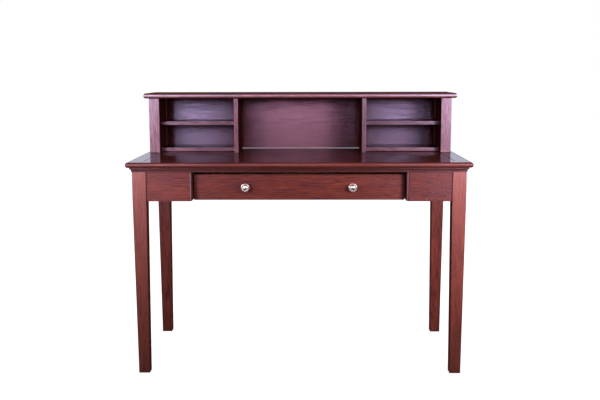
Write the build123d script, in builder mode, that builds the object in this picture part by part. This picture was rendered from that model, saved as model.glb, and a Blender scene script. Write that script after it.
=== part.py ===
import os
from math import sqrt

from build123d import *

os.makedirs("parts", exist_ok=True)

# Sizes are in millimetres.  X runs to the sitter's right, Y from the sitter to the wall, Z up.
# The origin is on the floor, under the middle of the desktop.

# Desktop
desk_width = 1220.0
desk_depth = 610.0
desk_height = 775.0
top_thickness = 19.0
border_width = 58.0  # mitred boards round the centre panel
nose_radius = 9.0  # front and side edges
rear_ease = 2.0  # rear edge, against the wall
groove_chamfer = 1.5  # half of the V between panel and border
tongue_length = 8.0
tongue_thickness = 6.0

# Base
front_overhang = 25.0  # desktop past the legs
side_overhang = 18.0
rear_overhang = 18.0
leg_size = 50.0
foot_size = 40.0
leg_ease = 2.0
foot_bevel = 2.0
apron_height = 105.0
apron_thickness = 20.0
apron_setback = 5.0  # behind the outer faces of the legs
tenon_thickness = 8.0
tenon_shoulder = 12.0  # above and below each tenon
tenon_web = 7.0  # wood left between the two mortises of a leg
brace_thickness = 20.0
brace_height = 60.0
brace_drop = 20.0  # below the build-up boards
brace_clearance = 0.5  # from the inner corner of the leg

# Build-up boards between base and desktop, coved at the front and sides
buildup_height = 17.0
buildup_width = 60.0
lower_fillet = 5.0
lower_fillet_out = 1.5  # past the legs
cove_radius = 5.5

# Front blocks and the partitions behind them
block_width = 160.0
block_round = 10.0  # vertical edge beside the drawer
block_ease = 1.5
partition_thickness = 20.0
housing_depth = 6.0

# Drawer
drawer_gap = 4.0  # beside the drawer front
drawer_top_gap = 12.0
drawer_recess = 36.0  # behind the block faces
drawer_front_thickness = 20.0
drawer_front_ease = 2.0
drawer_side_gap = 8.0  # between partition and drawer side
drawer_side_thickness = 14.0
drawer_side_height = 70.0
drawer_side_rise = 10.0  # above the lower edge of the drawer front
drawer_back_thickness = 12.0
drawer_rear_gap = 41.0  # from drawer back to rear apron
drawer_bottom_thickness = 6.0
drawer_bottom_rise = 6.0  # above the lower edge of the drawer sides
drawer_bottom_groove = 6.0
front_housing = 8.0  # drawer sides into the drawer front
back_housing = 5.0  # drawer back into the drawer sides
drawer_travel = 320.0

# Drawer runners and stops
runner_height = 15.0
runner_rise = 30.5  # above the lower edge of the drawer sides
runner_reach = 6.5  # into the groove of the drawer side
runner_rear_gap = 30.0  # from runner to rear apron
runner_front_gap = 14.0  # from drawer front to runner
running_clearance = 0.3
stop_spacing = 300.0
stop_width = 30.0
stop_length = 30.0
stop_drop = 34.0  # below the desktop
tab_thickness = 8.0
tab_rise = 21.0  # above the drawer back
tab_hold = 20.0  # height glued to the drawer back
drawer_back_inset = 6.0  # from the ends of the drawer sides
stop_clearance = 0.5

# Knobs
knob_spacing = 384.0
knob_radius = 15.0
knob_projection = 24.0
knob_base_radius = 8.0
knob_base_height = 2.0
knob_base_taper = 2.0  # height of the cone from base to neck
knob_neck_radius = 5.0
knob_neck_height = 9.0  # from the drawer face to the flare
knob_rim = 3.5  # width of the ring round the dome
knob_rim_height = 4.0
knob_groove = 1.5  # between ring and dome
knob_groove_depth = 2.0
knob_dome_rise = 3.0  # above the ring
knob_screw_radius = 2.0
knob_screw_bite = 10.0
knob_screw_head_radius = 4.0
knob_screw_head = 2.5

# Hutch
hutch_height = 233.0
hutch_depth = 215.0  # from post faces to back
hutch_rear_inset = 3.0  # from the desktop's rear edge
hutch_overhang = 18.0  # top board past the posts, front and sides
hutch_top_thickness = 20.0
hutch_nose_radius = 9.0
post_size = 40.0
post_ease = 1.5
panel_thickness = 16.0
panel_recess = 2.0  # inner face behind the inner faces of the posts
panel_tongue = 8.0
panel_tongue_thickness = 8.0
panel_lift = 1.0  # above the desktop
centre_bay = 486.0
divider_thickness = 16.0
back_thickness = 6.0
back_rabbet = 12.0  # overlap on the rear posts
back_top_rabbet = 8.0  # up into the top board
shelf_thickness = 15.0
shelf_setback = 50.0  # behind the post faces
shelf_ease = 1.5
shelf_housing = 5.0
middle_shelf_rise = 106.0  # above the desktop
bottom_shelf_rise = 1.0

# Fastenings
fit = 0.2  # between a tongue, tenon or dowel and the wood round it
screw_radius = 2.0
screw_head_radius = 4.0
front_screw_inset = 14.0  # build-up screws, from the front blocks
screw_inset = 8.0  # build-up screws, from the side and rear aprons
buildup_bite = 11.0  # into the desktop
front_screw_pitch = 240.0
side_screw_pitch = 220.0
rear_screw_pitch = 420.0
runner_screw_bite = 14.0
runner_screw_inset = 40.0
back_screw_radius = 1.5
back_screw_head_radius = 3.0
back_screw_length = 16.0
back_screw_pitch = 85.0
dowel_radius = 4.0
dowel_in_desktop = 12.0
dowel_in_post = 18.0
dowel_in_top = 12.0

sides = (("left", -1), ("right", 1))

# Levels
top_under = desk_height - top_thickness
leg_top = top_under - buildup_height
apron_under = leg_top - apron_height
drawer_under = apron_under
drawer_front_top = leg_top - drawer_top_gap
side_under = drawer_under + drawer_side_rise
side_top = side_under + drawer_side_height
bottom_z = side_under + drawer_bottom_rise
runner_z = side_under + runner_rise
knob_z = (drawer_under + drawer_front_top) / 2
hutch_top_under = desk_height + hutch_height - hutch_top_thickness

# Faces across the width, from the middle outwards
side_face = desk_width / 2 - side_overhang
leg_in = side_face - leg_size
apron_out = side_face - apron_setback
apron_in = apron_out - apron_thickness
opening_half = leg_in - block_width
partition_out = opening_half + partition_thickness
drawer_front_half = opening_half - drawer_gap
drawer_side_out = opening_half - drawer_side_gap
drawer_side_in = drawer_side_out - drawer_side_thickness
runner_in = drawer_side_out - runner_reach
hutch_side = desk_width / 2 - hutch_overhang
post_in = hutch_side - post_size
panel_in = post_in + panel_recess
panel_out = panel_in + panel_thickness
divider_in = centre_bay / 2
divider_out = divider_in + divider_thickness

# Faces from front to rear
front_edge = -desk_depth / 2
rear_edge = desk_depth / 2
front_face = front_edge + front_overhang
rear_face = rear_edge - rear_overhang
front_leg_rear = front_face + leg_size
rear_leg_front = rear_face - leg_size
block_front = front_face + apron_setback
block_rear = block_front + apron_thickness
rear_apron_rear = rear_face - apron_setback
rear_apron_front = rear_apron_rear - apron_thickness
drawer_face = block_front + drawer_recess
drawer_front_rear = drawer_face + drawer_front_thickness
drawer_rear = rear_apron_front - drawer_rear_gap
runner_front = drawer_front_rear + runner_front_gap
runner_rear = rear_apron_front - runner_rear_gap
drawer_back_rear = drawer_rear - drawer_back_inset
drawer_back_front = drawer_back_rear - drawer_back_thickness
stop_rear = drawer_back_rear - drawer_travel - stop_clearance
hutch_rear = rear_edge - hutch_rear_inset
hutch_face = hutch_rear - hutch_depth
front_post_rear = hutch_face + post_size
rear_post_front = hutch_rear - post_size
back_face = hutch_rear - back_thickness
shelf_front = hutch_face + shelf_setback

# Joints
tenon_axis = apron_setback + apron_thickness / 2  # behind the outer face of a leg
tenon_length = leg_size - tenon_axis - tenon_thickness / 2 - tenon_web
tenon_z = (apron_under + tenon_shoulder, leg_top - tenon_shoulder)
panel_axis = (panel_in + panel_out) / 2
shelf_levels = {
    "middle": desk_height + middle_shelf_rise,
    "bottom": desk_height + bottom_shelf_rise,
}


def save(piece, name):
    piece.part.label = name
    export_step(piece.part, f"parts/{name}.step")


def room(limits, clearance=fit):
    # Limits widened by a clearance at both ends
    return (min(limits) - clearance, max(limits) + clearance)


def about(centre, width):
    return (centre - width / 2, centre + width / 2)


def across(half):
    return (-half, half)


def out(side, near, far):
    # Limits on one side of the middle plane
    return (side * near, side * far)


def board(x, y, z, mode=Mode.ADD):
    # Square-edged board between two limits on each axis
    with BuildSketch(Plane((sum(x) / 2, sum(y) / 2, min(z)))) as footprint:
        Rectangle(abs(x[1] - x[0]), abs(y[1] - y[0]))
    extrude(footprint.sketch, amount=abs(z[1] - z[0]), mode=mode)


def ease(piece, axis, radius, *points):
    # Round the edges along an axis that pass nearest to the points
    along = piece.edges().filter_by(axis)
    fillet([along.sort_by_distance(point)[0] for point in points], radius)


def screw(seat, radius, head_radius, length):
    # Countersunk screw whose head is flush with its seat
    with BuildSketch(seat) as head:
        Circle(head_radius)
    extrude(head.sketch, amount=radius - head_radius, taper=45)
    with BuildSketch(seat) as shank:
        Circle(radius)
    extrude(shank.sketch, amount=-length)


def screw_hole(seats, radius, head_radius, length):
    with Locations(*seats):
        CounterSinkHole(radius + fit, head_radius + fit, length + fit, counter_sink_angle=90)


def plain_hole(seats, radius, length):
    with Locations(*seats):
        Hole(radius + fit, length + fit)


def border_section(nose):
    # Section of a desktop border board, from its outer edge inwards
    with BuildSketch() as section:
        Rectangle(border_width, top_thickness, align=Align.MIN)
        fillet(section.vertices().group_by(Axis.X)[0], nose)
        chamfer(section.vertices().group_by(Axis.X)[-1].sort_by(Axis.Y)[-1], groove_chamfer)
        with Locations((border_width, top_thickness / 2)):
            Rectangle(2 * (tongue_length + fit), tongue_thickness + 2 * fit, mode=Mode.SUBTRACT)
    return section


def buildup_section(coved):
    # Section of a build-up board, from its outer edge inwards
    with BuildSketch() as section:
        Rectangle(buildup_width, buildup_height, align=Align.MIN)
        if coved:
            Rectangle(cove_radius, lower_fillet, align=Align.MIN, mode=Mode.SUBTRACT)
            with Locations((0, lower_fillet)):
                Circle(cove_radius, mode=Mode.SUBTRACT)
    return section


def frame_side(index, low, high, width, base, height, section):
    # One mitred board of the rectangular frame between two corners: its section runs along that
    # side and is cut to the side's mitred plan
    corners = [Vector(*low), Vector(high[0], low[1]), Vector(*high), Vector(low[0], high[1])]
    diagonals = [width * Vector(x, y) for x, y in ((1, 1), (-1, 1), (-1, -1), (1, -1))]
    start, end = corners[index], corners[(index + 1) % 4]
    along = (end - start).normalized()
    middle = (start + end) / 2 + Vector(0, 0, base)
    with BuildSketch(Plane(middle, x_dir=Vector(-along.Y, along.X), z_dir=along)) as profile:
        add(section.sketch)
    extrude(profile.sketch, amount=(end - start).length / 2, both=True)
    with BuildSketch(Plane.XY.offset(base)) as plan:
        Polygon(start, end, end + diagonals[(index + 1) % 4], start + diagonals[index], align=None)
    extrude(plan.sketch, amount=height, mode=Mode.INTERSECT)


# Places of the fastenings
front_places = [(step * front_screw_pitch, block_rear + front_screw_inset) for step in range(-2, 3)]
rear_places = [(step * rear_screw_pitch, rear_apron_front - screw_inset) for step in range(-1, 2)]
side_places = [
    (side * (apron_in - screw_inset), step * side_screw_pitch / 2)
    for _, side in sides
    for step in (-1, 1)
]
buildup_places = front_places + rear_places + side_places
post_centres = [
    (side * (hutch_side - post_size / 2), y)
    for _, side in sides
    for y in (hutch_face + post_size / 2, hutch_rear - post_size / 2)
]
back_middle = (desk_height + hutch_top_under) / 2
back_screw_levels = [back_middle + step * back_screw_pitch for step in range(-1, 2)]


def seats(places, level, facing):
    # Planes on which screws, dowels and their holes start; they face out of the wood
    return [Plane((x, y, level), z_dir=(0, 0, facing)) for x, y in places]


def back_seats(x, y):
    return [Plane((x, y, z), x_dir=(1, 0, 0), z_dir=(0, 1, 0)) for z in back_screw_levels]


def runner_seats(side, x):
    first, last = runner_front + runner_screw_inset, runner_rear - runner_screw_inset
    level = runner_z + runner_height / 2
    stations = (first, (first + last) / 2, last)
    return [Plane((side * x, y, level), x_dir=(0, 1, 0), z_dir=(-side, 0, 0)) for y in stations]


# Desktop: a tongued panel in a mitred, round-nosed border

panel_half_width = desk_width / 2 - border_width
panel_half_depth = desk_depth / 2 - border_width
tongue_z = about(top_under + top_thickness / 2, tongue_thickness)

with BuildPart() as desktop_panel:
    board(across(panel_half_width), across(panel_half_depth), (top_under, desk_height))
    chamfer(desktop_panel.faces().sort_by(Axis.Z)[-1].edges(), groove_chamfer)
    board(across(panel_half_width + tongue_length), across(panel_half_depth + tongue_length), tongue_z)
    plain_hole(seats(buildup_places, leg_top, -1), screw_radius, buildup_height + buildup_bite)
save(desktop_panel, "desktop_panel")

for index, name in enumerate(("front", "right", "rear", "left")):
    edge_radius = rear_ease if name == "rear" else nose_radius
    low, high = (-desk_width / 2, front_edge), (desk_width / 2, rear_edge)
    with BuildPart() as border:
        frame_side(index, low, high, border_width, top_under, top_thickness, border_section(edge_radius))
        plain_hole(seats(buildup_places, leg_top, -1), screw_radius, buildup_height + buildup_bite)
        plain_hole(seats(post_centres, desk_height, 1), dowel_radius, dowel_in_desktop)
    save(border, f"desktop_border_{name}")

# Build-up boards: moulded at the front and sides, plain at the rear

buildup_out = lower_fillet_out + cove_radius
buildup_half = side_face + buildup_out
buildup_screws = (seats(buildup_places, leg_top, -1), screw_radius, screw_head_radius)

for index, name in ((0, "front"), (1, "right"), (3, "left")):
    low, high = (-buildup_half, front_face - buildup_out), (buildup_half, rear_face + buildup_width)
    with BuildPart() as moulding:
        frame_side(index, low, high, buildup_width, leg_top, buildup_height, buildup_section(coved=True))
        split(bisect_by=Plane((0, rear_face, 0), z_dir=(0, 1, 0)), keep=Keep.BOTTOM)
        screw_hole(*buildup_screws, buildup_height + buildup_bite)
    save(moulding, f"moulding_{name}")

with BuildPart() as rear_buildup:
    inner_half = buildup_half - buildup_width
    board(across(inner_half), (rear_face - buildup_width, rear_face), (leg_top, top_under))
    screw_hole(*buildup_screws, buildup_height + buildup_bite)
save(rear_buildup, "buildup_rear")

with BuildPart() as buildup_screw_group:
    for seat in seats(buildup_places, leg_top, -1):
        screw(seat, screw_radius, screw_head_radius, buildup_height + buildup_bite)
save(buildup_screw_group, "desktop_screws")

# Legs, with a mortise for the front block or rear apron and one for the side apron

leg_sections = (
    (0, foot_size - 2 * foot_bevel),
    (foot_bevel, foot_size),
    (apron_under, leg_size),
    (leg_top, leg_size),
)

for side_name, side in sides:
    for end_name, outer, inward in (("front", front_face, 1), ("rear", rear_face, -1)):
        centre = (side * (side_face - leg_size / 2), outer + inward * leg_size / 2)
        with BuildPart() as leg:
            for level, size in leg_sections:
                with BuildSketch(Plane((*centre, level))):
                    RectangleRounded(size, size, leg_ease)
            loft(ruled=True)
            cross = about(outer + inward * tenon_axis, tenon_thickness)
            along = about(side * (side_face - tenon_axis), tenon_thickness)
            inner_y = outer + inward * leg_size
            reach = tenon_length + fit
            mortise_z = room(tenon_z)
            board(out(side, leg_in, leg_in + reach), room(cross), mortise_z, Mode.SUBTRACT)
            board(room(along), (inner_y - inward * reach, inner_y), mortise_z, Mode.SUBTRACT)
        save(leg, f"leg_{end_name}_{side_name}")

# Aprons, front blocks and partitions

partition_z = (apron_under, leg_top)
partition_y = (block_rear - housing_depth, rear_apron_front + housing_depth)

for side_name, side in sides:
    with BuildPart() as front_block:
        board(out(side, opening_half, leg_in), (block_front, block_rear), partition_z)
        ease(front_block, Axis.Z, block_round, (side * opening_half, block_front, knob_z))
        middle = side * (opening_half + leg_in) / 2
        ends = ((middle, block_front, apron_under), (middle, block_front, leg_top))
        ease(front_block, Axis.X, block_ease, *ends)
        tenon_y = about(front_face + tenon_axis, tenon_thickness)
        board(out(side, leg_in, leg_in + tenon_length), tenon_y, tenon_z)
        slot = room(out(side, opening_half, partition_out))
        board(slot, (block_rear - housing_depth - fit, block_rear), partition_z, Mode.SUBTRACT)
    save(front_block, f"front_block_{side_name}")

    with BuildPart() as side_apron:
        tenon_x = about(side * (side_face - tenon_axis), tenon_thickness)
        board(out(side, apron_in, apron_out), (front_leg_rear, rear_leg_front), partition_z)
        board(tenon_x, (front_leg_rear - tenon_length, rear_leg_front + tenon_length), tenon_z)
    save(side_apron, f"side_apron_{side_name}")

    with BuildPart() as partition:
        board(out(side, opening_half, partition_out), partition_y, partition_z)
        plain_hole(runner_seats(side, opening_half), screw_radius, runner_screw_bite)
    save(partition, f"partition_{side_name}")

with BuildPart() as rear_apron:
    board(across(leg_in), (rear_apron_front, rear_apron_rear), partition_z)
    tenon_y = about(rear_face - tenon_axis, tenon_thickness)
    board(across(leg_in + tenon_length), tenon_y, tenon_z)
    for _, side in sides:
        slot = room(out(side, opening_half, partition_out))
        board(slot, (rear_apron_front, rear_apron_front + housing_depth + fit), partition_z, Mode.SUBTRACT)
save(rear_apron, "rear_apron")

# Corner braces: diagonal boards from apron to apron behind each leg

brace_near = 2 * (leg_size - apron_setback - apron_thickness) + brace_clearance
brace_far = brace_near + brace_thickness * sqrt(2)
brace_base = leg_top - brace_drop - brace_height

for side_name, side in sides:
    for end_name, corner_y, inward in (("front", block_rear, 1), ("rear", rear_apron_front, -1)):
        with BuildPart() as brace:
            with BuildSketch(Plane.XY.offset(brace_base)):
                corner = Vector(side * apron_in, corner_y)
                steps = [(brace_near, 0), (brace_far, 0), (0, brace_far), (0, brace_near)]
                Polygon(*(corner + Vector(-side * x, inward * y) for x, y in steps), align=None)
            extrude(amount=brace_height)
        save(brace, f"corner_brace_{end_name}_{side_name}")

# Drawer runners and stops

runner_limits = (runner_z, runner_z + runner_height)
runner_screw_length = opening_half - runner_in + runner_screw_bite

for side_name, side in sides:
    with BuildPart() as runner:
        board(out(side, runner_in, opening_half), (runner_front, runner_rear), runner_limits)
        screw_hole(runner_seats(side, runner_in), screw_radius, screw_head_radius, runner_screw_length)
    save(runner, f"drawer_runner_{side_name}")

with BuildPart() as runner_screws:
    for _, side in sides:
        for seat in runner_seats(side, runner_in):
            screw(seat, screw_radius, screw_head_radius, runner_screw_length)
save(runner_screws, "runner_screws")

stop_places = [side * stop_spacing / 2 for _, side in sides]
stop_block_z = (top_under - stop_drop, top_under)

with BuildPart() as stop_blocks:
    for x in stop_places:
        board(about(x, stop_width), (stop_rear - stop_length, stop_rear), stop_block_z)
save(stop_blocks, "drawer_stop_blocks")

# Drawer

bottom_limits = (bottom_z, bottom_z + drawer_bottom_thickness)
knob_places = [(name, side * knob_spacing / 2) for name, side in sides]

with BuildPart() as drawer_front:
    front_limits = (drawer_face, drawer_front_rear)
    board(across(drawer_front_half), front_limits, (drawer_under, drawer_front_top))
    fillet(drawer_front.faces().sort_by(Axis.Y)[0].edges(), drawer_front_ease)
    for _, side in sides:
        housing_y = (drawer_front_rear - front_housing - fit, drawer_front_rear)
        housing_z = room((side_under, side_top))
        board(room(out(side, drawer_side_in, drawer_side_out)), housing_y, housing_z, Mode.SUBTRACT)
    groove_y = (drawer_front_rear - drawer_bottom_groove, drawer_front_rear)
    board(across(drawer_side_in + drawer_bottom_groove), groove_y, room(bottom_limits), Mode.SUBTRACT)
    knob_seats = [Plane((x, drawer_front_rear, knob_z), z_dir=(0, 1, 0)) for _, x in knob_places]
    plain_hole(knob_seats, knob_screw_radius, drawer_front_thickness)
save(drawer_front, "drawer_front")

for side_name, side in sides:
    with BuildPart() as drawer_side:
        side_y = (drawer_front_rear - front_housing, drawer_rear)
        board(out(side, drawer_side_in, drawer_side_out), side_y, (side_under, side_top))
        runner_groove_x = out(side, runner_in - running_clearance, drawer_side_out)
        runner_groove_y = (runner_front - running_clearance, drawer_rear)
        runner_groove_z = room(runner_limits, running_clearance)
        board(runner_groove_x, runner_groove_y, runner_groove_z, Mode.SUBTRACT)
        bottom_groove_x = out(side, drawer_side_in, drawer_side_in + drawer_bottom_groove)
        board(bottom_groove_x, side_y, room(bottom_limits), Mode.SUBTRACT)
        housing_x = out(side, drawer_side_in, drawer_side_in + back_housing)
        housing_y = room((drawer_back_front, drawer_back_rear))
        board(housing_x, housing_y, (max(bottom_limits), side_top), Mode.SUBTRACT)
    save(drawer_side, f"drawer_side_{side_name}")

with BuildPart() as drawer_back:
    back_x = across(drawer_side_in + back_housing - fit)
    board(back_x, (drawer_back_front, drawer_back_rear), (max(bottom_limits) + fit, side_top))
save(drawer_back, "drawer_back")

with BuildPart() as drawer_bottom:
    bottom_x = across(drawer_side_in + drawer_bottom_groove - fit)
    board(bottom_x, (drawer_front_rear - drawer_bottom_groove + fit, drawer_rear), bottom_limits)
save(drawer_bottom, "drawer_bottom")

with BuildPart() as stop_tabs:
    for x in stop_places:
        tab_y = (drawer_back_rear, drawer_back_rear + tab_thickness)
        board(about(x, stop_width), tab_y, (side_top - tab_hold, side_top + tab_rise))
save(stop_tabs, "drawer_stop_tabs")

# Knobs: turned metal, a ring round a low dome, on a flared neck

ring_face = knob_projection - knob_dome_rise
ring_under = ring_face - knob_rim_height
ring_in = knob_radius - knob_rim
dome_radius = ring_in - knob_groove
groove_floor = ring_face - knob_groove_depth
dome_height = knob_projection - groove_floor
dome_curve = (dome_radius**2 + dome_height**2) / (2 * dome_height)
neck_start = knob_base_height + knob_base_taper
flare_width = knob_radius - knob_neck_radius
flare_height = ring_under - knob_neck_height

for name, x in knob_places:
    with BuildPart() as knob:
        with BuildSketch(Plane((x, drawer_face, knob_z), x_dir=(1, 0, 0), z_dir=(0, 0, -1))):
            with BuildLine():
                Polyline((0, 0), (knob_base_radius, 0), (knob_base_radius, knob_base_height))
                Line((knob_base_radius, knob_base_height), (knob_neck_radius, neck_start))
                Line((knob_neck_radius, neck_start), (knob_neck_radius, knob_neck_height))
                flare_centre = (knob_radius, knob_neck_height)
                EllipticalCenterArc(flare_centre, flare_width, flare_height, start_angle=90, arc_size=90)
                Polyline((knob_radius, ring_under), (knob_radius, ring_face), (ring_in, ring_face))
                Polyline((ring_in, ring_face), (ring_in, groove_floor), (dome_radius, groove_floor))
                RadiusArc((dome_radius, groove_floor), (0, knob_projection), -dome_curve)
                Line((0, knob_projection), (0, 0))
            make_face()
        revolve(axis=Axis((x, drawer_face, knob_z), (0, 1, 0)))
        plain_hole([Plane((x, drawer_face, knob_z), z_dir=(0, 1, 0))], knob_screw_radius, knob_screw_bite)
    save(knob, f"knob_{name}")

with BuildPart() as knob_screws:
    with BuildSketch(*knob_seats):
        Circle(knob_screw_head_radius)
    extrude(amount=knob_screw_head)
    with BuildSketch(*knob_seats):
        Circle(knob_screw_radius)
    extrude(amount=-(drawer_front_thickness + knob_screw_bite))
save(knob_screws, "knob_screws")

# Hutch: posts and side panels

post_z = (desk_height, hutch_top_under)
lifted_z = (desk_height + panel_lift, hutch_top_under)
back_screw_x = post_in + back_rabbet / 2
divider_axis = (divider_in + divider_out) / 2

for side_name, side in sides:
    post_x = out(side, post_in, hutch_side)
    groove_x = room(about(side * panel_axis, panel_tongue_thickness))
    groove_depth = panel_tongue + fit
    ends = (
        ("front", (hutch_face, front_post_rear), (front_post_rear - groove_depth, front_post_rear)),
        ("rear", (rear_post_front, hutch_rear), (rear_post_front, rear_post_front + groove_depth)),
    )
    for end_name, post_y, groove_y in ends:
        with BuildPart() as post:
            board(post_x, post_y, post_z)
            fillet(post.edges().filter_by(Axis.Z), post_ease)
            board(groove_x, groove_y, post_z, Mode.SUBTRACT)
            if end_name == "rear":
                rabbet_x = out(side, post_in, post_in + back_rabbet + fit)
                board(rabbet_x, (back_face, hutch_rear), post_z, Mode.SUBTRACT)
                back_edge = back_seats(side * back_screw_x, hutch_rear)
                plain_hole(back_edge, back_screw_radius, back_screw_length)
            plain_hole(seats(post_centres, desk_height, -1), dowel_radius, dowel_in_post)
            plain_hole(seats(post_centres, hutch_top_under, 1), dowel_radius, dowel_in_post)
        save(post, f"hutch_post_{end_name}_{side_name}")

    with BuildPart() as panel:
        board(out(side, panel_in, panel_out), (front_post_rear, rear_post_front), lifted_z)
        tongue_y = (front_post_rear - panel_tongue, rear_post_front + panel_tongue)
        board(about(side * panel_axis, panel_tongue_thickness), tongue_y, lifted_z)
        for level in shelf_levels.values():
            housing_x = out(side, panel_in, panel_in + shelf_housing + fit)
            housing_z = room((level, level + shelf_thickness))
            board(housing_x, (shelf_front - fit, rear_post_front), housing_z, Mode.SUBTRACT)
    save(panel, f"hutch_side_{side_name}")

# Hutch: dividers, shelves, back and top board

for side_name, side in sides:
    with BuildPart() as divider:
        board(out(side, divider_in, divider_out), (hutch_face, back_face), post_z)
        corners = [(side * x, hutch_face, desk_height) for x in (divider_in, divider_out)]
        ease(divider, Axis.Z, post_ease, *corners)
        for level in shelf_levels.values():
            housing_x = out(side, divider_out - shelf_housing - fit, divider_out)
            housing_z = room((level, level + shelf_thickness))
            board(housing_x, (shelf_front - fit, back_face), housing_z, Mode.SUBTRACT)
        plain_hole(back_seats(side * divider_axis, hutch_rear), back_screw_radius, back_screw_length)
    save(divider, f"hutch_divider_{side_name}")

    for shelf_name, level in shelf_levels.items():
        with BuildPart() as shelf:
            shelf_z = (level, level + shelf_thickness)
            board(out(side, divider_out - shelf_housing, post_in - fit), (shelf_front, back_face), shelf_z)
            outer_x = out(side, post_in - fit, panel_in + shelf_housing)
            board(outer_x, (shelf_front, rear_post_front - fit), shelf_z)
            edges = [(side * (divider_out + post_in) / 2, shelf_front, z) for z in shelf_z]
            ease(shelf, Axis.X, shelf_ease, *edges)
        save(shelf, f"{shelf_name}_shelf_{side_name}")

back_screw_places = (-back_screw_x, -divider_axis, divider_axis, back_screw_x)
back_screw_seats = [seat for x in back_screw_places for seat in back_seats(x, hutch_rear)]

with BuildPart() as hutch_back:
    back_z = (desk_height + panel_lift, hutch_top_under + back_top_rabbet - fit)
    board(across(post_in + back_rabbet), (back_face, hutch_rear), back_z)
    screw_hole(back_screw_seats, back_screw_radius, back_screw_head_radius, back_screw_length)
save(hutch_back, "hutch_back")

with BuildPart() as hutch_top:
    top_z = (hutch_top_under, desk_height + hutch_height)
    board(across(desk_width / 2), (hutch_face - hutch_overhang, hutch_rear), top_z)
    nosed = hutch_top.edges().filter_by(Axis.X).group_by(Axis.Y)[0] + hutch_top.edges().filter_by(Axis.Y)
    fillet(nosed, hutch_nose_radius)
    rabbet_z = (hutch_top_under, hutch_top_under + back_top_rabbet)
    board(across(post_in + back_rabbet + fit), (back_face - fit, hutch_rear), rabbet_z, Mode.SUBTRACT)
    plain_hole(seats(post_centres, hutch_top_under, -1), dowel_radius, dowel_in_top)
save(hutch_top, "hutch_top")

# Dowels and small screws of the hutch

for name, level, below, above in (
    ("hutch_dowels", desk_height, dowel_in_desktop, dowel_in_post),
    ("hutch_top_dowels", hutch_top_under, dowel_in_post, dowel_in_top),
):
    with BuildPart() as dowels:
        with BuildSketch(Plane.XY.offset(level - below)):
            with Locations(*post_centres):
                Circle(dowel_radius)
        extrude(amount=below + above)
    save(dowels, name)

with BuildPart() as back_screws:
    for seat in back_screw_seats:
        screw(seat, back_screw_radius, back_screw_head_radius, back_screw_length)
save(back_screws, "back_screws")
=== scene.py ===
import math
import random

import bmesh
import bpy
from mathutils import Matrix, Vector


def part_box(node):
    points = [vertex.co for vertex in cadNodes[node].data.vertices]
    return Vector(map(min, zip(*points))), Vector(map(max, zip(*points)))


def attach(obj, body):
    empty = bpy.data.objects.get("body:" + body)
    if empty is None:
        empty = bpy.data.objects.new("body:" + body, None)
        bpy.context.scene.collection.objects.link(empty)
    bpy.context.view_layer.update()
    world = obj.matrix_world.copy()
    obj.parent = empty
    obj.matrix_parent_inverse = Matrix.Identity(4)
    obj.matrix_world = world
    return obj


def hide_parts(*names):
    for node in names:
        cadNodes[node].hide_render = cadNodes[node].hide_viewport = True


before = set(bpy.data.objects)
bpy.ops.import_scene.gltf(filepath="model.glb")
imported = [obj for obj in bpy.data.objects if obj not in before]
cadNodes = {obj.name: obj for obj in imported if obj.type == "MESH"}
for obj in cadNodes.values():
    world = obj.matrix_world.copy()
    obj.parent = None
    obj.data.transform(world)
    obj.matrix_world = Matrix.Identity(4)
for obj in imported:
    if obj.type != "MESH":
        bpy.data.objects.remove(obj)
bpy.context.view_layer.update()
mm = 0.001  # sizes below are in millimetres where they are multiplied by this
sides = (("left", -1), ("right", 1))
print("frame loaded:", len(cadNodes), "nodes")


# Node helpers: every material is built with these

def addNode(tree, kind, values=None, **settings):
    made = tree.nodes.new("ShaderNode" + kind)
    for key, value in settings.items():
        setattr(made, key, value)
    for name, value in (values or {}).items():
        if isinstance(value, bpy.types.NodeSocket):
            tree.links.new(value, made.inputs[name])
        else:
            made.inputs[name].default_value = value
    return made


def mathsOf(tree, operation, first, second=0.0, third=0.0):
    return addNode(tree, "Math", {0: first, 1: second, 2: third}, operation=operation).outputs[0]


def product(tree, first, *others):
    for other in others:
        first = mathsOf(tree, "MULTIPLY", first, other)
    return first


def scaled(tree, vector, factors):
    return addNode(tree, "VectorMath", {0: vector, 1: factors}, operation="MULTIPLY").outputs[0]


def noiseOf(tree, place, stretch, detail=2.0, roughness=0.5):
    values = {
        "Vector": scaled(tree, place, stretch),
        "Scale": 1.0,
        "Detail": detail,
        "Roughness": roughness,
    }
    return addNode(tree, "TexNoise", values)


def ramp(tree, factor, stops):
    made = addNode(tree, "ValToRGB", {"Fac": factor})
    band = made.color_ramp
    while len(band.elements) < len(stops):
        band.elements.new(0.5)
    for element, (position, colour) in zip(band.elements, stops):
        element.position = position
        element.color = (*colour, 1.0) if isinstance(colour, tuple) else (colour, colour, colour, 1.0)
    return made.outputs["Color"]


def mixColours(tree, factor, first, second, blend="MIX"):
    made = tree.nodes.new("ShaderNodeMix")
    made.data_type = "RGBA"
    made.blend_type = blend
    for index, value in ((0, factor), (6, first), (7, second)):
        if isinstance(value, bpy.types.NodeSocket):
            tree.links.new(value, made.inputs[index])
        else:
            made.inputs[index].default_value = value
    return made.outputs[2]


def newMaterial(name):
    material = bpy.data.materials.new(name)
    material.use_nodes = True
    tree = material.node_tree
    return material, tree, tree.nodes["Principled BSDF"]


# Wood: growth rings round the heart of the log, pores along them, stain and lacquer over both

# Waves per metre of each part of the figure, along the grain and across it
figureWaves = {
    "sway": (1.3, 7.0, 7.0),
    "unevenRings": (4.0, 60.0, 60.0),
    "streaks": (5.0, 75.0, 75.0),
    "pores": (70.0, 1500.0, 1500.0),
    "clouds": (1.6, 9.0, 9.0),
}
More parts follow.
